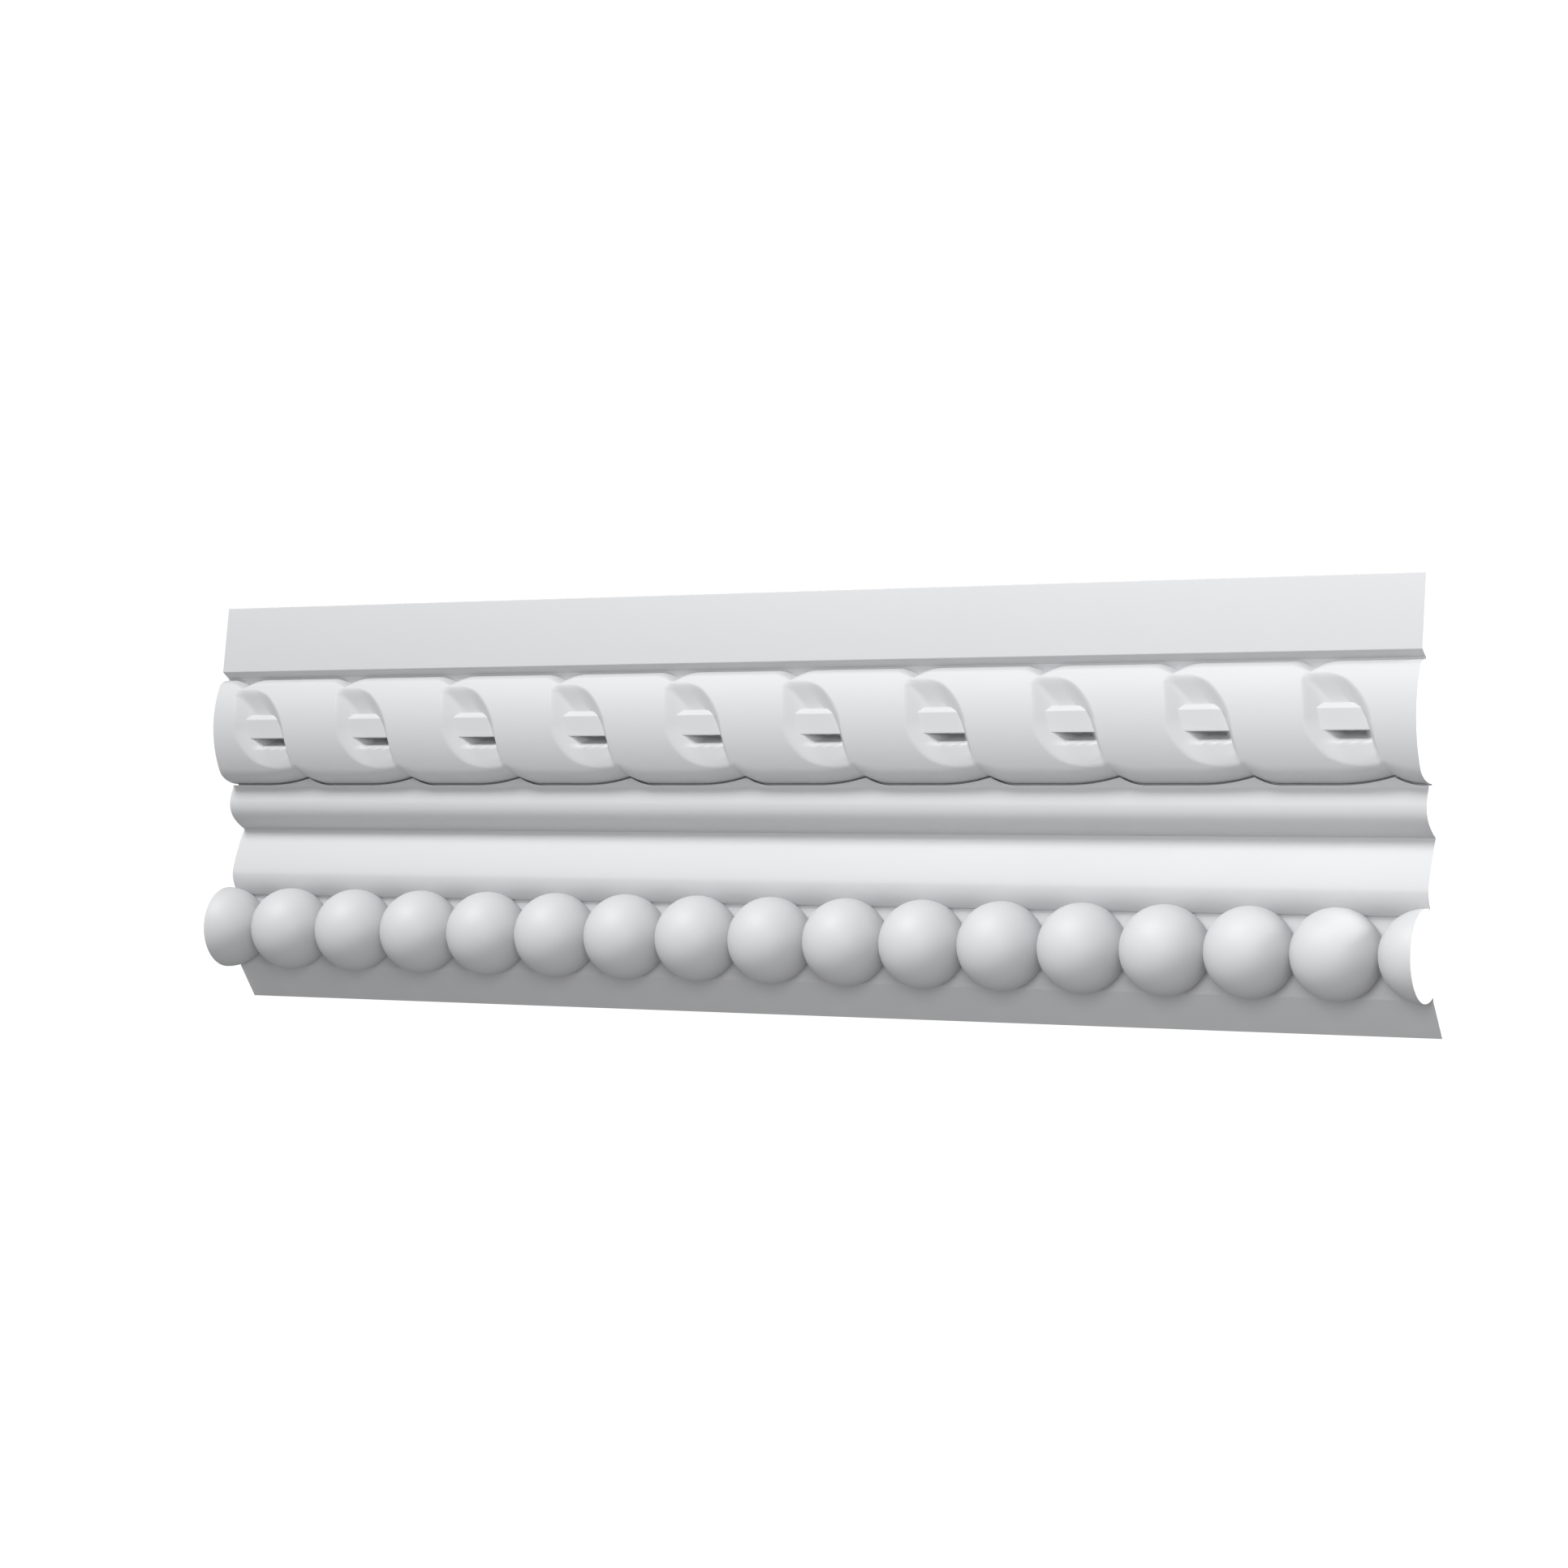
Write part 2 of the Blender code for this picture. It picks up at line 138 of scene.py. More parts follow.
# Plaster: the scales of its two noises, and how far its sheen varies to both sides
CLOUD_SCALE = 14.0
CLOUD_DETAIL = 4.0
GRAIN_SCALE = 1500.0
GRAIN_DETAIL = 3.0
GRAIN_STRENGTH = 0.6
SMOOTHER = 0.05
ROUGHER = 0.07

# Studio: where the square lights stand, how wide they are, and the white seen round the piece
KEY_PLACE = (-0.90, -1.95, 2.55)
KEY_WIDTH = 1.2
FILL_PLACE = (0.28, -0.62, 0.10)
FILL_WIDTH = 0.25
SIDE_PLACE = (1.20, 0.40, 0.30)
SIDE_WIDTH = 0.6
WHITE = (1.0, 1.0, 1.0, 1.0)
BACKDROP_STRENGTH = 1.05
FLOOR_HALF = 30.0
FLOOR_COLOUR = (0.9, 0.9, 0.9, 1.0)
FLOOR_ROUGHNESS = 0.8
FLOOR_GLOW = 0.7
SENSOR_WIDTH = 36.0  # in millimetres


def size(name, default, description, smallest=0.0):
    return bpy.props.FloatProperty(
        name=name, default=default, min=smallest, description=description, subtype="DISTANCE", unit="LENGTH",
        precision=5,
    )


def share(name, default, description, most=1.0):
    return bpy.props.FloatProperty(
        name=name, default=default, min=0.0, max=most, description=description, subtype="FACTOR"
    )


def colour(name, default, description):
    return bpy.props.FloatVectorProperty(
        name=name, default=default, size=3, min=0.0, max=1.0, description=description, subtype="COLOR"
    )


def count(name, default, description):
    return bpy.props.IntProperty(name=name, default=default, min=2, max=400, description=description)


class FriezeSection(bpy.types.PropertyGroup):
    """The plain members of the section, from the underside up."""

    bevel_height: size("Bevel height", 0.0101, "Height of the bevel under the beads")
    bead_band_height: size("Bead band height", 0.0216, "Height of the flat bed behind the beads")
    ovolo_height: size("Ovolo height", 0.0203, "Height of the wide round member above the beads")
    torus_height: size("Torus height", 0.0135, "Height of the narrow round member under the ribbon")
    ribbon_bed_height: size("Ribbon bed height", 0.0328, "Height of the flat bed behind the ribbon")
    soffit_height: size("Soffit height", 0.0020, "Rise of the sloping face under the fascia")
    base_depth: size("Base depth", 0.0154, "Depth of the underside")
    bead_bed_depth: size("Bead bed depth", 0.0226, "Depth of the flat bed behind the beads")
    ovolo_foot_depth: size("Ovolo foot depth", 0.0234, "Depth of the lower edge of the wide round member")
    ovolo_belly_depth: size("Ovolo belly depth", 0.0264, "Greatest depth of the wide round member")
    ovolo_belly_height: size("Ovolo belly height", 0.0067, "How far its fullest line is above its foot")
    lower_groove_depth: size("Lower groove depth", 0.0206, "Depth of the groove between the round members")
    torus_depth: size("Torus depth", 0.0277, "Greatest depth of the narrow round member")
    torus_belly_height: size("Torus belly height", 0.0081, "How far its fullest line is above its foot")
    upper_groove_depth: size("Upper groove depth", 0.0258, "Depth of the groove under the ribbon")
    ribbon_bed_depth: size("Ribbon bed depth", 0.0282, "Depth of the top of the bed behind the ribbon")
    recess_depth: size("Recess depth", 0.0232, "Depth of the recess hidden behind the ribbon's foot")
    recess_height: size("Recess height", 0.0060, "Height of that recess")
    soffit_depth: size("Soffit depth", 0.0311, "Depth of the fascia's lower edge")
    top_depth: size("Top depth", 0.0282, "Depth of the top edge")
    edge_ease: size("Edge ease", 0.00025, "How far the cast edges are rounded back")


class FriezeBeads(bpy.types.PropertyGroup):
    """The row of beads."""

    pitch: size("Pitch", 0.024, "Distance from one bead to the next", 0.004)
    diameter: size("Diameter", 0.0244, "Diameter of a bead", 0.002)
    centre_depth: size("Centre depth", 0.0283, "Depth of the beads' centres")
    centre_height: size("Centre height", 0.0118, "Height of the centres above the foot of their bed")
    segments: count("Segments", 56, "Steps round a bead")
    rings: count("Rings", 36, "Steps from the back of a bead to its front")


class FriezeRibbon(bpy.types.PropertyGroup):
    """The ribbon wound on its stick. Its openings are hollows between two bands of it."""

    turn: size("Turn", 0.0384, "Length of one turn of the ribbon", 0.01)
    first_notch: size("First notch", 0.0082, "From the left end to the first dip between two bands")
    axis_height: size("Axis height", 0.0173, "Height of the ribbon's axis above the foot of its bed")
    face_depth: size("Face depth", 0.0359, "Greatest depth of the ribbon's face")
    face_radius: size("Face radius", 0.0282, "Radius of the round face")
    top_gap: size("Top gap", 0.0005, "Gap between the ribbon and the soffit")
    slot: size("Slot", 0.0004, "Width of the narrow slot that follows the ribbon's lower outline")
    slot_depth: size("Slot depth", 0.0236, "Depth at which that slot ends")
    shelf_depth: size("Shelf depth", 0.0261, "Depth of the shelf below the slot, under the cusps")
    head_round: size("Head round", 0.0014, "Rounding of the ribbon's upper edge", 0.0001)
    foot_round: size("Foot round", 0.0046, "Rounding of the ribbon's lower edge", 0.0001)
    notch_shift: size("Notch shift", 0.0009, "How far right of the opening's start the outline is lowest")
    notch_fall: size("Notch fall", 0.0019, "How far the outline dips at the notch")
    notch_left_run: size("Notch left run", 0.0054, "Length of the dip's left side", 0.0001)
    notch_right_run: size("Notch right run", 0.0068, "Length of the dip's right side", 0.0001)
    cusp_from_notch: size("Cusp from notch", 0.0211, "How far right of the notch the cusp below lies")
    cusp_fall: size("Cusp fall", 0.0022, "How far the outline rises at the cusp")
    cusp_left_run: size("Cusp left run", 0.0150, "Length of the cusp's left side", 0.0001)
    cusp_right_run: size("Cusp right run", 0.0080, "Length of the cusp's right side", 0.0001)
    tongue_run: size("Tongue run", 0.0120, "Length over which a band dives under its neighbour at the notch")
    tongue_drop: size("Tongue drop", 0.0018, "How far it dives there")
    cusp_tongue_run: size("Cusp tongue run", 0.0066, "Length over which a band dives at the cusp")
    cusp_tongue_drop: size("Cusp tongue drop", 0.0040, "How far it dives there")
    opening_width: size("Opening width", 0.0189, "Width of the opening between two bands at mid-height")
    opening_shift: size("Opening shift", 0.0007, "How far left of the notch the opening starts")
    opening_head: size("Opening head", 0.0130, "Height of the opening's top above the axis")
    opening_foot: size("Opening foot", 0.0138, "How far the opening's bottom is below the axis")
    opening_corner: size("Opening corner", 0.0024, "Height of the slanting corner at each tip of the opening")
    sweep: size("Sweep", 0.0158, "How far an edge of the band runs along, from mid-height to its tip")
    lean_left: size("Left lean", 0.0030, "How far the upper part of an opening's left edge leans out")
    lean_right: size("Right lean", 0.0036, "How far the lower part of an opening's right edge leans out")
    lower_floor: size("Lower floor", 0.0262, "Depth of the hollow's floor below the stick")
    upper_floor: size("Upper floor", 0.0313, "Depth of the hollow's floor just above the stick")
    floor_sweep: size("Floor sweep", 0.0021, "How much the upper floor curves forward by the opening's head")
    rolled_run: size("Rolled run", 0.0046, "Width over which a band's right side rolls into the hollow")
    rolled_drop: size("Rolled drop", 0.0021, "How far the rolled side falls over that width beside the stick")
    pit_height: size("Pit height", 0.0032, "Height below the stick over which the floor comes forward")
    pit_rise: size("Pit rise", 0.0066, "How far the floor comes forward over that height")
    slant_run: size("Slant run", 0.0042, "Width of the slanting left edge of a band")
    steep_run: size("Steep run", 0.0014, "Width of the steep side below it")
    stick_above: size("Stick above", 0.0028, "How far the stick's flat front reaches above the axis")
    stick_below: size("Stick below", 0.0031, "How far the stick's flat front reaches below the axis")
    stick_depth: size("Stick depth", 0.0340, "Depth of the stick's flat front")
    stick_slope_height: size("Stick slope height", 0.0013, "Height of the slope on top of the stick")
    stick_slope_fall: size("Stick slope fall", 0.0012, "How far that slope falls back")
    stick_ease: size("Stick ease", 0.0003, "Rounding of the stick's edges")
    rolled_columns: count("Rolled columns", 14, "Steps across the rolled side of the left band")
    floor_columns: count("Floor columns", 12, "Steps across the middle of the opening")
    steep_columns: count("Steep columns", 5, "Steps across the steep side of the right band")
    slant_columns: count("Slant columns", 9, "Steps across its slanting edge")
    band_columns: count("Band columns", 26, "Steps across the plain band")
    opening_rows: count("Opening rows", 64, "Steps from the opening's lower tip to its upper tip")
    foot_rows: count("Foot rows", 15, "Steps from the lower tip to the ribbon's lower edge")
    head_rows: count("Head rows", 11, "Steps from the upper tip to the ribbon's upper edge")


class FriezeFinish(bpy.types.PropertyGroup):
    """The plaster."""

    white: colour("White", (0.58, 0.584, 0.592), "Colour of the dry plaster")
    shade: colour("Clouding", (0.555, 0.56, 0.572), "Colour of the faintly darker clouds in it")
    roughness: share("Roughness", 0.55, "Roughness of the surface")
    grain: size("Grain", 0.00002, "Height of the fine grain")


class FriezeStudio(bpy.types.PropertyGroup):
    """Light, floor and camera."""

    ambient: share("Ambient", 0.37, "Strength of the light from all round", 4.0)
    key: share("Key", 92.0, "Power of the large soft light above and in front, in watts", 200.0)
    fill: share("Fill", 1.6, "Power of the small light in front of the right-hand end, in watts", 200.0)
    side: share("Side", 24.0, "Power of the light behind the right-hand end, in watts", 200.0)
    floor_drop: size("Floor drop", 1.0, "How far the floor is below the origin")
    lens: bpy.props.FloatProperty(
        name="Lens", default=80.19, min=10.0, description="Focal length on a 36 mm sensor, in millimetres"
    )
    camera_right: size("Camera right", 0.2917, "How far the camera is right of the right-hand end")
    camera_away: size("Camera away", 0.8860, "How far the camera is in front of the back")
    camera_height: size("Camera height", 0.0659, "How far the camera is above the underside")
    camera_turn: bpy.props.FloatProperty(
        name="Camera turn", default=math.radians(29.199), description="How far the view is turned to the left",
        subtype="ANGLE", unit="ROTATION",
    )


def smooth_step(t):
    t = np.clip(t, 0.0, 1.0)
    return t * t * (3.0 - 2.0 * t)


def object_of(bm, name):
    bmesh.ops.recalc_face_normals(bm, faces=bm.faces)
    mesh = bpy.data.meshes.new(name)
    bm.to_mesh(mesh)
    bm.free()
    made = bpy.data.objects.new(name, mesh)
    bpy.context.collection.objects.link(made)
    return made


class Levels:
    """Heights of the members, from the underside of the moulding up."""

    def __init__(self, plain, ribbon):
        self.ovolo = plain.bevel_height + plain.bead_band_height
        self.torus = self.ovolo + plain.ovolo_height
        self.ribbon = self.torus + plain.torus_height
        self.soffit = self.ribbon + plain.ribbon_bed_height
        self.fascia = self.soffit + plain.soffit_height
        self.axis = self.ribbon + ribbon.axis_height
        self.rise = self.soffit - ribbon.top_gap - self.axis
        self.fall = ribbon.axis_height - ribbon.slot


def swell(foot, belly, head, powers):
    """Points up a round member, each (depth, height), between its foot and its head."""
    points = []
    for i in range(1, 2 * SECTION_STEPS):
        t = i / SECTION_STEPS - 1.0
        end, power = (foot, powers[0]) if t < 0 else (head, powers[1])
        depth = belly[0] - (belly[0] - end[0]) * abs(t) ** power
        points.append((depth, belly[1] + (end[1] - belly[1]) * abs(t)))
    return points


def eased(before, corner, after, ease, steps=4):
    """The corner as a small round from one of its sides to the other."""
    corner = np.array(corner)
    sides = []
    for other in (before, after):
        along = np.array(other) - corner
        reach = min(ease, MOST_EASED_SHARE * np.linalg.norm(along))
        sides.append(corner + along / np.linalg.norm(along) * reach)
    points = []
    for i in range(steps + 1):
        t = i / steps
        points.append(tuple((1 - t) ** 2 * sides[0] + 2 * t * (1 - t) * corner + t * t * sides[1]))
    return points


def section_points(plain, levels):
    """The plain section, each point (depth, height), with its cast edges eased."""
    ovolo_foot = (plain.ovolo_foot_depth, levels.ovolo)
    ovolo_belly = (plain.ovolo_belly_depth, levels.ovolo + plain.ovolo_belly_height)
    lower_groove = (plain.lower_groove_depth, levels.torus)
    torus_belly = (plain.torus_depth, levels.torus + plain.torus_belly_height)
    upper_groove = (plain.upper_groove_depth, levels.ribbon)
    recess = [(plain.recess_depth, levels.ribbon), (plain.recess_depth, levels.ribbon + plain.recess_height)]
    ovolo = swell(ovolo_foot, ovolo_belly, lower_groove, OVOLO_POWERS)
    torus = swell(lower_groove, torus_belly, upper_groove, TORUS_POWERS)
    cast = [
        (plain.base_depth, 0.0),
        (plain.bead_bed_depth, plain.bevel_height),
        (plain.bead_bed_depth, levels.ovolo),
        ovolo_foot,
    ]
    top = [
        (plain.ribbon_bed_depth, levels.soffit),
        (plain.soffit_depth, levels.fascia),
        (plain.top_depth, FULL_HEIGHT),
        (0.0, FULL_HEIGHT),
    ]
    run = [(0.0, 0.0), *cast, *ovolo, lower_groove, *torus, upper_groove, *recess, *top]
    points = []
    for i, point in enumerate(run):
        if point in (cast[0], cast[1], cast[3], top[1], top[2]):
            points += eased(run[i - 1], point, run[(i + 1) % len(run)], plain.edge_ease)
        else:
            points.append(point)
    return points


def drawn_out(points, name):
    """A section, each point (depth, height), drawn out along X past both cut ends."""
    half = FULL_LENGTH / 2 + RUN_OUT
    bm = bmesh.new()
    ring = [bm.verts.new((-half, -depth, height + CAD_LOW.z)) for depth, height in points]
    drawn = bmesh.ops.extrude_face_region(bm, geom=[bm.faces.new(ring)])
    moved = [item for item in drawn["geom"] if isinstance(item, bmesh.types.BMVert)]
    bmesh.ops.translate(bm, verts=moved, vec=(2 * half, 0.0, 0.0))
    return object_of(bm, name)


def bead_row(beads, plain, first):
    """Every second bead, so that no two of one row meet. Bead 0 is centred on the left end."""
    bm = bmesh.new()
    bmesh.ops.create_uvsphere(bm, u_segments=beads.segments, v_segments=beads.rings, radius=beads.diameter / 2)
    level = CAD_LOW.z + plain.bevel_height + beads.centre_height
    for vert in bm.verts:
        across, up, out = vert.co
        vert.co = (CAD_LOW.x + first * beads.pitch + across, -beads.centre_depth - out, level + up)
    row = object_of(bm, "beads")
    repeat = row.modifiers.new("row", "ARRAY")
    repeat.use_relative_offset = False
    repeat.use_constant_offset = True
    repeat.constant_offset_displace = (2 * beads.pitch, 0.0, 0.0)
    repeat.count = int((FULL_LENGTH / beads.pitch + 1 - first) // 2) + 1
    return row


def left_edge(ribbon, rise):
    """Where the opening starts, right of the notch, at heights above the axis."""
    swept = np.sqrt(np.clip(1.0 - np.clip(-rise / ribbon.opening_foot, 0.0, 1.0) ** SWEEP_POWER, 0.0, 1.0))
    leant = ribbon.lean_left * np.clip(rise / ribbon.axis_height, 0.0, 1.0) ** LEFT_LEAN_POWER
    return ribbon.sweep * (1.0 - swept) - leant - ribbon.opening_shift


def right_edge(ribbon, rise):
    """Where the opening ends, right of the notch, at heights above the axis."""
    swept = np.sqrt(np.clip(1.0 - np.clip(rise / ribbon.opening_head, 0.0, 1.0) ** SWEEP_POWER, 0.0, 1.0))
    leant = ribbon.lean_right * np.clip(-rise / ribbon.axis_height, 0.0, 1.0) ** RIGHT_LEAN_POWER
    return ribbon.opening_width - ribbon.opening_shift - ribbon.sweep * (1.0 - swept) + leant


def distance_to(points, x, rise):
    """Least distance from each (x, rise) to a line through the points."""
    nearest = np.full(x.shape, np.inf)
    for (x0, y0), (x1, y1) in zip(points, points[1:]):
        along = (x - x0) * (x1 - x0) + (rise - y0) * (y1 - y0)
        t = np.clip(along / ((x1 - x0) ** 2 + (y1 - y0) ** 2), 0.0, 1.0)
        nearest = np.minimum(nearest, np.hypot(x - x0 - t * (x1 - x0), rise - y0 - t * (y1 - y0)))
    return nearest


def soft_least(a, b, width):
    """The smaller of two, blended where they are nearly the same."""
    near = np.clip(1.0 - np.abs(a - b) / width, 0.0, 1.0)
    return np.minimum(a, b) - near**2 * width / 4


def dip(from_dip, left_run, right_run, left_power=DIP_POWER):
    """Share of a dip's fall that is left at distances right of its lowest point."""
    run = np.where(from_dip < 0, left_run, right_run)
    power = np.where(from_dip < 0, left_power, DIP_POWER)
    return np.clip(1.0 - np.abs(from_dip) / run, 0.0, 1.0) ** power


def reaches(ribbon, levels, x):
    """How far the ribbon reaches above and below its axis: less at the notch on top and at the cusp below."""
    half = ribbon.turn / 2
    from_notch = (x - ribbon.notch_shift + half) % ribbon.turn - half
    from_cusp = (x - ribbon.cusp_from_notch + half) % ribbon.turn - half
    notch = dip(from_notch, ribbon.notch_left_run, ribbon.notch_right_run, NOTCH_LEFT_POWER)
    cusp = dip(from_cusp, ribbon.cusp_left_run, ribbon.cusp_right_run)
    return levels.rise - ribbon.notch_fall * notch, levels.fall - ribbon.cusp_fall * cusp


def slanted_run(edge, ribbon, rise, run, room):
    """How far a run square to a slanting edge reaches along X, within the room there is."""
    step = run / 10
    slope = (edge(ribbon, rise + step) - edge(ribbon, rise - step)) / (2 * step)
    return np.minimum(run * np.hypot(1.0, slope), room)


def ribbon_grid(ribbon, levels):
    """Places (x right of the notch, rise above the axis) of one turn's points, as rows of columns.

    The columns follow both edges of the opening, and the rows its slanting corners, so that every edge of the
    carving lies along the mesh.
    """
    corner = ribbon.opening_corner
    share = 0.5 + 0.5 * np.sin(np.pi * (np.linspace(0.0, 1.0, ribbon.opening_rows + 1) - 0.5))
    left_rise = (share * (ribbon.opening_head + ribbon.opening_foot - corner) - ribbon.opening_foot)[:, None]
    right_rise = left_rise + corner
    left, right = left_edge(ribbon, left_rise), right_edge(ribbon, right_rise)
    room = MOST_SIDE_SHARE * (right - left)
    rolled = slanted_run(left_edge, ribbon, left_rise, ribbon.rolled_run, room)
    steep = slanted_run(right_edge, ribbon, right_rise, ribbon.slant_run + ribbon.steep_run, room)
    slant = steep * ribbon.slant_run / (ribbon.slant_run + ribbon.steep_run)

    def steps(number):
        return np.linspace(0.0, 1.0, number, endpoint=False)[None, :]

    across = np.hstack([
        left + rolled * steps(ribbon.rolled_columns),
        left + rolled + (right - steep - left - rolled) * steps(ribbon.floor_columns),
        right - steep + (steep - slant) * steps(ribbon.steep_columns),
        right - slant + slant * steps(ribbon.slant_columns),
    ])
    along_band = steps(ribbon.band_columns)
    along_band = along_band - BAND_CROWDING * np.sin(2.0 * np.pi * along_band)
    x = np.hstack([across, right + (left + ribbon.turn - right) * along_band])
    rise = np.hstack([left_rise + corner * (across - left) / (right - left), right_rise - corner * along_band])

    above = reaches(ribbon, levels, x[-1])[0]
    below = reaches(ribbon, levels, x[0])[1]
    outward = 1.0 - (1.0 - np.linspace(0.0, 1.0, ribbon.head_rows + 1)[1:, None]) ** ROW_CROWDING
    head = rise[-1] + (above - rise[-1]) * outward
    outward = 1.0 - np.linspace(0.0, 1.0, ribbon.foot_rows + 1)[:-1, None] ** ROW_CROWDING
    foot = rise[0] - (below + rise[0]) * outward
    slot_edge = foot[:1] - ribbon.slot
    shelf_fall = SHELF_END - ribbon.axis_height - slot_edge
    shelf = slot_edge + shelf_fall * np.linspace(1.0, 0.0, SHELF_ROWS)[:, None]
    rows_below = SHELF_ROWS + 1 + ribbon.foot_rows
    x = np.vstack([np.repeat(x[:1], rows_below, 0), x, np.repeat(x[-1:], ribbon.head_rows, 0)])
    return x, np.vstack([shelf, slot_edge, foot, rise, head])


def opening_sides(ribbon, levels, x, rise):
    """For the opening's left edge, then its right one: which places lie inside it, and how far from it."""
    foot, head, corner = ribbon.opening_foot, ribbon.opening_head, ribbon.opening_corner
    share = np.linspace(1.0, 0.0, EDGE_LINE_STEPS) ** 2
    down = (levels.rise + foot) * share - foot
    left_line = list(zip(left_edge(ribbon, down), down))
    left_line.append((float(right_edge(ribbon, np.array(corner - foot))), corner - foot))
    down = head - (head + levels.fall) * share[::-1]
    right_line = list(zip(right_edge(ribbon, down), down))
    right_line.insert(0, (float(left_edge(ribbon, np.array(head - corner))), head - corner))
    low_tip, low_end = left_line[-2:]
    high_end, high_tip = right_line[:2]

    in_left = (rise > -foot) & (x > left_edge(ribbon, rise))
    in_left &= (rise + foot) * (low_end[0] - low_tip[0]) > (x - low_tip[0]) * corner
    in_right = (rise < head) & (x < right_edge(ribbon, rise))
    in_right &= (head - rise) * (high_tip[0] - high_end[0]) > (high_tip[0] - x) * corner
    return in_left, distance_to(left_line, x, rise), in_right, distance_to(right_line, x, rise)


def rolled_fall(ribbon, from_left, rise):
    """How far the rolled right side of a band has fallen at a distance from its edge."""
    slope = ribbon.rolled_drop / (ribbon.rolled_run - ROLL_START)
    rolled = slope * (np.hypot(from_left, ROLL_START) - ROLL_START)
    rolled = rolled * (1.0 + UPPER_ROLL_GAIN * np.clip(rise / UPPER_ROLL_REACH, 0.0, 1.0))
    beyond = np.clip(from_left - ribbon.rolled_run, 0.0, None)
    wall = PIT_WALL_SLOPE * (np.hypot(beyond, ROLL_START) - ROLL_START)
    return rolled + wall * smooth_step((-rise - PIT_WALL_START) / PIT_WALL_EASE)


def slanted_fall(ribbon, from_right, rise):
    """How far the slanting left edge of a band has fallen at a distance from its edge."""
    off_tip = smooth_step((rise + ribbon.opening_foot) / SLANT_TIP_REACH)
    lower = smooth_step((LOWER_SLANT_START - rise) / LOWER_SLANT_EASE)
    slope = (TIP_SLANT_SLOPE + SLANT_SLOPE_GAIN * off_tip) * (1.0 + LOWER_SLANT_GAIN * lower)
    slanted = slope * (np.hypot(from_right, SLANT_START) - SLANT_START)
    return slanted + STEEP_SLOPE * np.clip(from_right - ribbon.slant_run, 0.0, None)


def hollow_floor(ribbon, rise):
    """Depth of the floor of an opening: it comes forward above the stick, and below it sooner."""
    above_stick = np.clip(rise - ribbon.stick_above, 0.0, None) / (ribbon.opening_head - ribbon.stick_above)
    upper = ribbon.upper_floor + ribbon.floor_sweep * above_stick**FLOOR_SWEEP_POWER
    lower = ribbon.lower_floor + ribbon.pit_rise * smooth_step((-rise - ribbon.stick_below) / ribbon.pit_height)
    return lower + (upper - lower) * smooth_step((rise + FLOOR_STEP_START) / FLOOR_STEP_EASE)


def ribbon_depths(ribbon, plain, levels, x, rise):
    """Depth of the ribbon's surface at x right of a notch and a rise above the axis."""
    in_left, from_left, in_right, from_right = opening_sides(ribbon, levels, x, rise)
    low = smooth_step((-rise - ribbon.opening_foot + CUSP_DIVE_START) / CUSP_DIVE_EASE)
    high = smooth_step((rise - ribbon.opening_head + NOTCH_DIVE_START) / NOTCH_DIVE_EASE)
    left_dive = ribbon.cusp_tongue_drop * low * smooth_step(1.0 - from_right / ribbon.cusp_tongue_run)
    right_dive = ribbon.tongue_drop * high * smooth_step(1.0 - from_left / ribbon.tongue_run)
    left_band = left_dive + np.where(in_left, rolled_fall(ribbon, from_left, rise), 0.0)
    right_band = right_dive + np.where(in_right, slanted_fall(ribbon, from_right, rise), 0.0)

    face = ribbon.face_depth - ribbon.face_radius + np.sqrt(ribbon.face_radius**2 - rise**2)
    to_floor = np.clip(face - hollow_floor(ribbon, rise), 0.0, None)
    drop = soft_least(left_band, right_band, BAND_BLEND)
    drop = soft_least(drop, np.hypot(to_floor, FLOOR_EASE) - FLOOR_EASE, FLOOR_BLEND)
    drop = np.clip(drop, 0.0, None)

    above, below = reaches(ribbon, levels, x)
    below = np.where(rise < -below, -rise, below)
    from_head = np.clip(1.0 - (above - rise) / ribbon.head_round, 0.0, 1.0)
    from_foot = np.clip(1.0 - (below + rise) / ribbon.foot_round, 0.0, 1.0)
    head_side = np.sqrt(np.clip(1.0 - from_head**HEAD_ROUND_POWER, 0.0, 1.0))
    foot_side = np.sqrt(np.clip(1.0 - from_foot**FOOT_ROUND_POWER, 0.0, 1.0))
    along_bed = np.clip(rise / levels.rise, 0.0, 1.0)
    bed = ribbon.slot_depth + (plain.ribbon_bed_depth - ribbon.slot_depth) * along_bed
    return bed + (face - drop - bed) * (head_side * foot_side)


def ribbon_relief(ribbon, plain, levels):
    """The ribbon as one carved strip: a grid laid over the bed, raised to its surface, and closed behind."""
    x, rise = ribbon_grid(ribbon, levels)
    depth = ribbon_depths(ribbon, plain, levels, x, rise)
    depth[:SHELF_ROWS] = ribbon.shelf_depth
    depth[SHELF_ROWS:SHELF_ROWS + 2] = ribbon.slot_depth
    rows, columns = x.shape
    turns = math.ceil((FULL_LENGTH + 2 * RUN_OUT) / ribbon.turn) + 2
    bm = bmesh.new()
    bmesh.ops.create_grid(bm, x_segments=turns * columns, y_segments=rows - 1, size=0.5)
    for vert in bm.verts:
        turn, column = divmod(round((vert.co.x + 0.5) * turns * columns), columns)
        row = round((vert.co.y + 0.5) * (rows - 1))
        start = CAD_LOW.x + ribbon.first_notch + (turn - 1) * ribbon.turn
        up = CAD_LOW.z + levels.axis + rise[row, column]
        vert.co = (start + x[row, column], -depth[row, column], up)
    back = bmesh.ops.extrude_face_region(bm, geom=bm.faces[:])
    for item in back["geom"]:
        if isinstance(item, bmesh.types.BMVert):
            item.co.y = BURIED - plain.upper_groove_depth
    return object_of(bm, "ribbon")


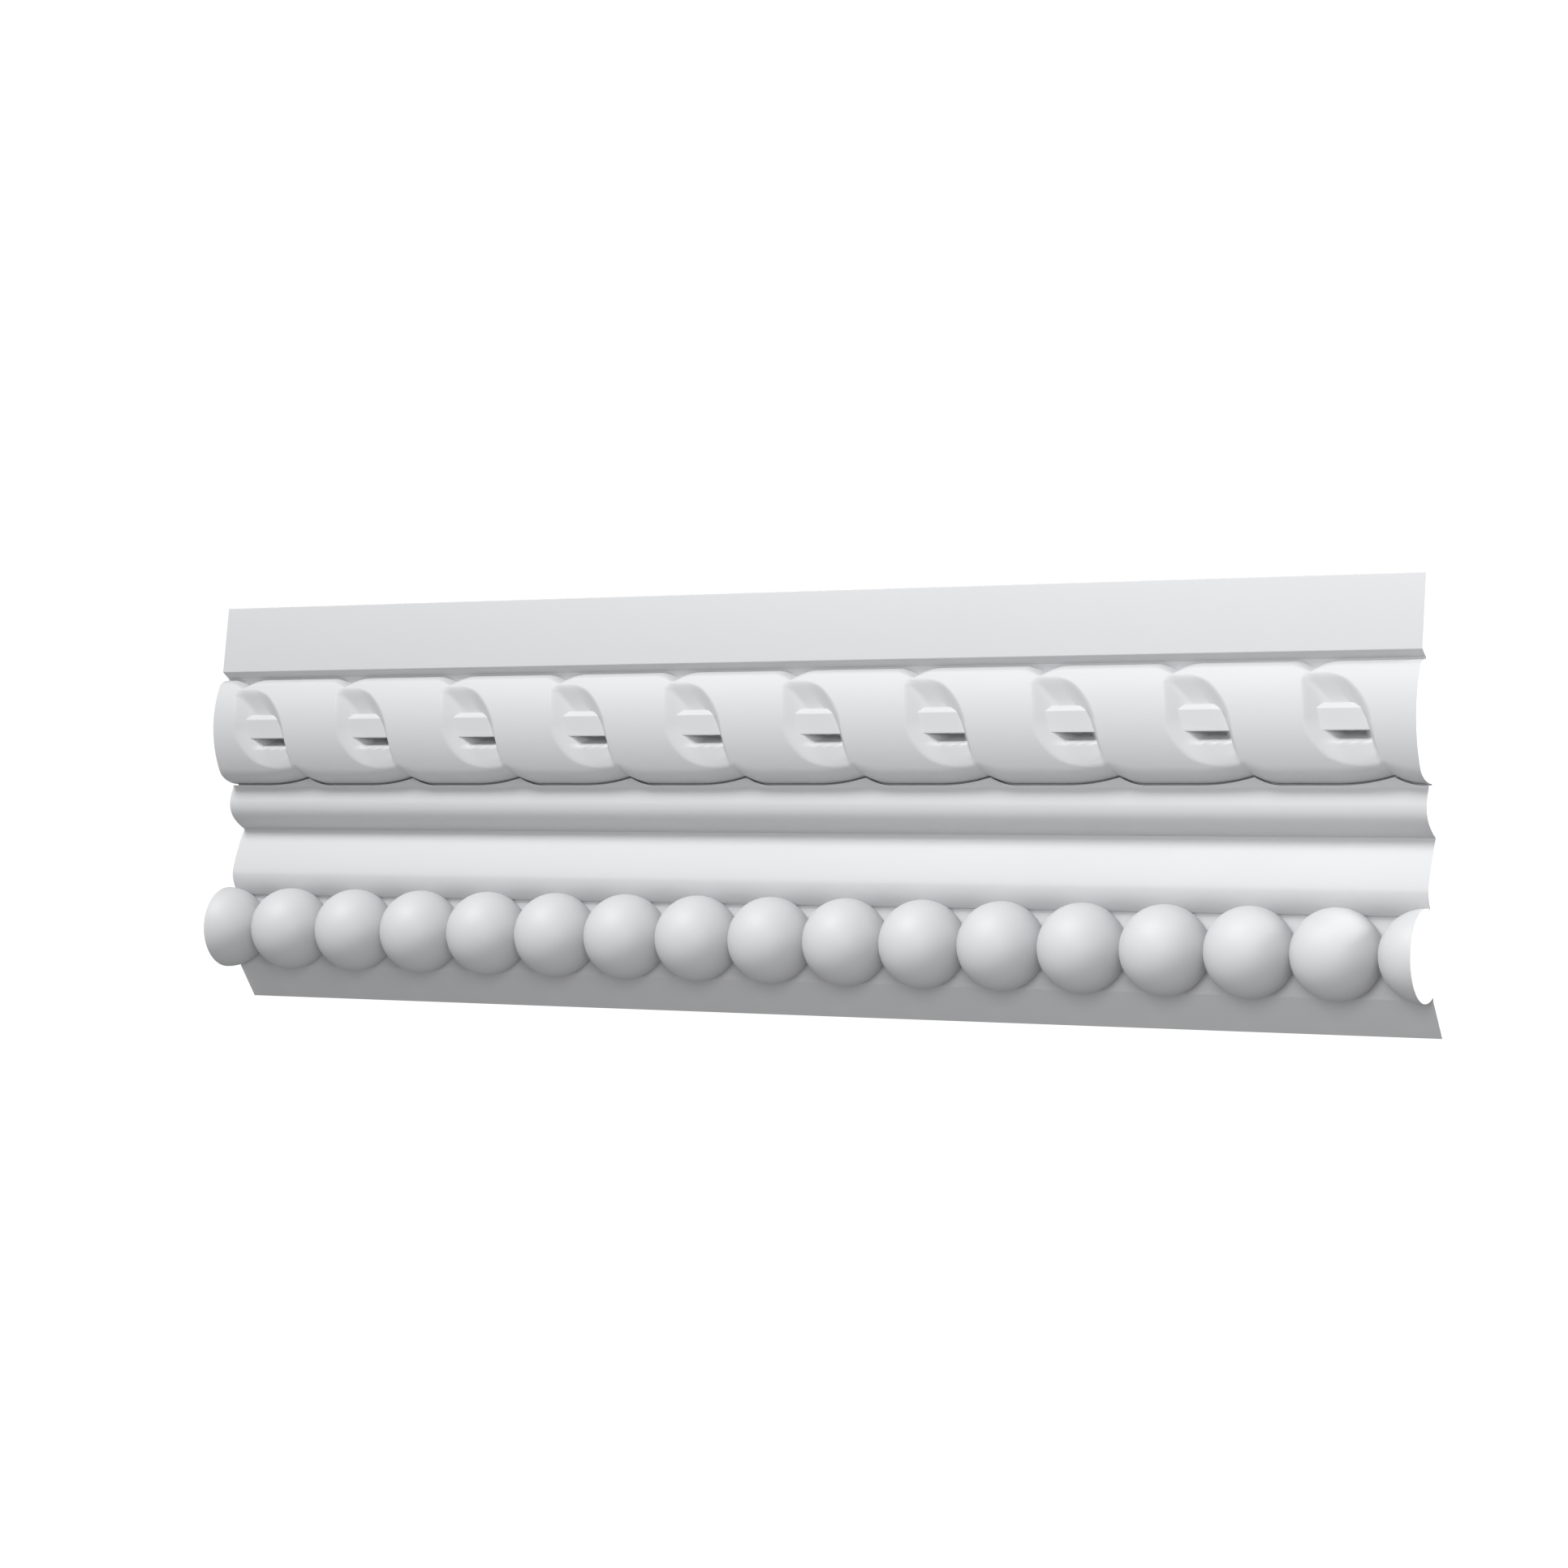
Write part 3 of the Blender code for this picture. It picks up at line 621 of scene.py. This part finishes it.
def stick_points(ribbon, plain, levels):
    """Section of the stick: a flat front, a slope on its top, and a back buried in the bed."""
    back = plain.upper_groove_depth - BURIED
    low = levels.axis - ribbon.stick_below
    high = levels.axis + ribbon.stick_above
    front = ribbon.stick_depth
    slope_end = (front - ribbon.stick_slope_fall, high + ribbon.stick_slope_height)
    run = [(back, low), (front, low), (front, high), slope_end, (back, slope_end[1])]
    points = [run[0]]
    for before, point, after in zip(run, run[1:-1], run[2:]):
        points += eased(before, point, after, ribbon.stick_ease)
    return [*points, run[-1]]


def kept_length():
    """A box exactly as long as the moulding, and deeper and higher than it."""
    bm = bmesh.new()
    bmesh.ops.create_cube(bm, size=1.0)
    for vert in bm.verts:
        vert.co.x *= FULL_LENGTH
        vert.co.y *= 4 * (CAD_HIGH.y - CAD_LOW.y)
        vert.co.z *= 2 * FULL_HEIGHT
    return object_of(bm, "kept_length")


def join(body, shape, operation):
    """Joins a closed shape to the body for good, and removes the shape."""
    modifier = body.modifiers.new(shape.name, "BOOLEAN")
    modifier.operation = operation
    modifier.solver = "MANIFOLD"
    modifier.object = shape
    evaluated = body.evaluated_get(bpy.context.evaluated_depsgraph_get())
    mesh = bpy.data.meshes.new_from_object(evaluated)
    if not mesh.polygons:
        raise RuntimeError(f"joining {shape.name} left nothing of the body")
    body.modifiers.clear()
    body.data = mesh
    bpy.data.objects.remove(shape, do_unlink=True)


def plaster(finish):
    """Dry white casting plaster: faint clouds, a fine grain and a soft, slightly uneven sheen."""
    material = bpy.data.materials.new("white_plaster")
    material.use_nodes = True
    nodes = material.node_tree.nodes
    links = material.node_tree.links
    shader = nodes["Principled BSDF"]
    place = nodes.new("ShaderNodeTexCoord")

    clouds = nodes.new("ShaderNodeTexNoise")
    clouds.inputs["Scale"].default_value = CLOUD_SCALE
    clouds.inputs["Detail"].default_value = CLOUD_DETAIL
    blend = nodes.new("ShaderNodeMix")
    blend.data_type = "RGBA"
    blend.inputs["A"].default_value = (*finish.white, 1.0)
    blend.inputs["B"].default_value = (*finish.shade, 1.0)
    links.new(place.outputs["Object"], clouds.inputs["Vector"])
    links.new(clouds.outputs["Fac"], blend.inputs["Factor"])
    links.new(blend.outputs["Result"], shader.inputs["Base Color"])

    sheen = nodes.new("ShaderNodeMapRange")
    sheen.inputs["To Min"].default_value = finish.roughness - SMOOTHER
    sheen.inputs["To Max"].default_value = finish.roughness + ROUGHER
    links.new(clouds.outputs["Fac"], sheen.inputs["Value"])
    links.new(sheen.outputs["Result"], shader.inputs["Roughness"])

    grain = nodes.new("ShaderNodeTexNoise")
    grain.inputs["Scale"].default_value = GRAIN_SCALE
    grain.inputs["Detail"].default_value = GRAIN_DETAIL
    bump = nodes.new("ShaderNodeBump")
    bump.inputs["Distance"].default_value = finish.grain
    bump.inputs["Strength"].default_value = GRAIN_STRENGTH
    links.new(place.outputs["Object"], grain.inputs["Vector"])
    links.new(grain.outputs["Fac"], bump.inputs["Height"])
    links.new(bump.outputs["Normal"], shader.inputs["Normal"])
    return material


class FRIEZE_OT_casting(bpy.types.Operator):
    """Build the whole casting, from its section, ribbon, stick and beads"""

    bl_idname = "frieze.casting"
    bl_label = "Casting"

    def execute(self, context):
        scene = context.scene
        plain, beads, ribbon = scene.frieze_section, scene.frieze_beads, scene.frieze_ribbon
        levels = Levels(plain, ribbon)
        casting = drawn_out(section_points(plain, levels), CASTING)
        join(casting, ribbon_relief(ribbon, plain, levels), "UNION")
        join(casting, drawn_out(stick_points(ribbon, plain, levels), "stick"), "UNION")
        join(casting, bead_row(beads, plain, 0), "UNION")
        join(casting, bead_row(beads, plain, 1), "UNION")
        join(casting, kept_length(), "INTERSECT")
        casting.data.materials.clear()
        casting.data.materials.append(plaster(scene.frieze_finish))
        casting.data.shade_smooth()
        casting.data.set_sharp_from_angle(angle=SHARP_ANGLE)
        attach(casting, "root")
        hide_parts(NODE)
        return {"FINISHED"}


def square_light(name, place, width, power):
    """A soft square light that looks at the middle of the moulding."""
    light = bpy.data.lights.new(name, "AREA")
    light.size = width
    light.energy = power
    lamp = bpy.data.objects.new(name, light)
    lamp.location = place
    lamp.rotation_euler = ((CAD_LOW + CAD_HIGH) / 2 - lamp.location).to_track_quat("-Z", "Y").to_euler()
    lamp.visible_camera = False
    bpy.context.collection.objects.link(lamp)


def studio_world(ambient):
    """Even white light from all round. The camera itself sees plain white."""
    world = bpy.data.worlds.new("studio")
    world.use_nodes = True
    nodes, links = world.node_tree.nodes, world.node_tree.links
    seen = nodes.new("ShaderNodeBackground")
    seen.inputs["Color"].default_value = WHITE
    seen.inputs["Strength"].default_value = BACKDROP_STRENGTH
    around = nodes["Background"]
    around.inputs["Color"].default_value = WHITE
    around.inputs["Strength"].default_value = ambient
    ray = nodes.new("ShaderNodeLightPath")
    pick = nodes.new("ShaderNodeMixShader")
    links.new(ray.outputs["Is Camera Ray"], pick.inputs["Fac"])
    links.new(around.outputs["Background"], pick.inputs[1])
    links.new(seen.outputs["Background"], pick.inputs[2])
    links.new(pick.outputs["Shader"], nodes["World Output"].inputs["Surface"])
    return world


def floor_paint():
    """Matt pale paint with a faint glow of its own, so that the floor looks plain and even."""
    paint = bpy.data.materials.new("pale_floor")
    paint.use_nodes = True
    shader = paint.node_tree.nodes["Principled BSDF"]
    shader.inputs["Base Color"].default_value = FLOOR_COLOUR
    shader.inputs["Roughness"].default_value = FLOOR_ROUGHNESS
    shader.inputs["Emission Color"].default_value = WHITE
    shader.inputs["Emission Strength"].default_value = FLOOR_GLOW
    return paint


def pale_floor(drop):
    """A wide floor below the moulding, which throws no light back at it."""
    bm = bmesh.new()
    bmesh.ops.create_grid(bm, x_segments=1, y_segments=1, size=FLOOR_HALF)
    floor = object_of(bm, "floor")
    floor.location.z = -drop
    floor.data.materials.append(floor_paint())
    floor.visible_diffuse = False
    floor.visible_glossy = False
    return floor


def view_camera(studio):
    """The camera that matches the photograph."""
    lens = bpy.data.cameras.new("camera")
    lens.sensor_width = SENSOR_WIDTH
    lens.lens = studio.lens
    camera = bpy.data.objects.new("camera", lens)
    camera.location = (
        CAD_HIGH.x + studio.camera_right,
        CAD_HIGH.y - studio.camera_away,
        CAD_LOW.z + studio.camera_height,
    )
    camera.rotation_euler = (math.pi / 2, 0.0, studio.camera_turn)
    bpy.context.collection.objects.link(camera)
    return camera


class FRIEZE_OT_stage(bpy.types.Operator):
    """Set up the pale floor, the soft light and the camera"""

    bl_idname = "frieze.stage"
    bl_label = "Stage"

    def execute(self, context):
        studio = context.scene.frieze_studio
        context.scene.world = studio_world(studio.ambient)
        square_light("key", KEY_PLACE, KEY_WIDTH, studio.key)
        square_light("fill", FILL_PLACE, FILL_WIDTH, studio.fill)
        square_light("side", SIDE_PLACE, SIDE_WIDTH, studio.side)
        floor = pale_floor(studio.floor_drop)
        context.scene.camera = view_camera(studio)
        context.scene.view_settings.view_transform = "Standard"
        return {"FINISHED"}


class FRIEZE_PT_panel(bpy.types.Panel):
    """Sidebar panel of the frieze"""

    bl_label = "Frieze"
    bl_idname = "FRIEZE_PT_panel"
    bl_space_type = "VIEW_3D"
    bl_region_type = "UI"
    bl_category = "Frieze"

    def draw(self, context):
        for operator in OPERATORS:
            self.layout.operator(operator.bl_idname)
        for group in GROUPS:
            box = self.layout.box()
            settings = getattr(context.scene, group)
            for name in settings.bl_rna.properties.keys():
                if name not in ("rna_type", "name"):
                    box.prop(settings, name)


GROUPS = {
    "frieze_section": FriezeSection,
    "frieze_beads": FriezeBeads,
    "frieze_ribbon": FriezeRibbon,
    "frieze_finish": FriezeFinish,
    "frieze_studio": FriezeStudio,
}
OPERATORS = (FRIEZE_OT_casting, FRIEZE_OT_stage)


def register():
    for name, group in GROUPS.items():
        bpy.utils.register_class(group)
        setattr(bpy.types.Scene, name, bpy.props.PointerProperty(type=group))
    for cls in (*OPERATORS, FRIEZE_PT_panel):
        bpy.utils.register_class(cls)


def unregister():
    for cls in (FRIEZE_PT_panel, *reversed(OPERATORS)):
        bpy.utils.unregister_class(cls)
    for name, group in GROUPS.items():
        delattr(bpy.types.Scene, name)
        bpy.utils.unregister_class(group)


def main():
    register()
    bpy.ops.frieze.casting()
    bpy.ops.frieze.stage()


if __name__ == "__main__":
    main()
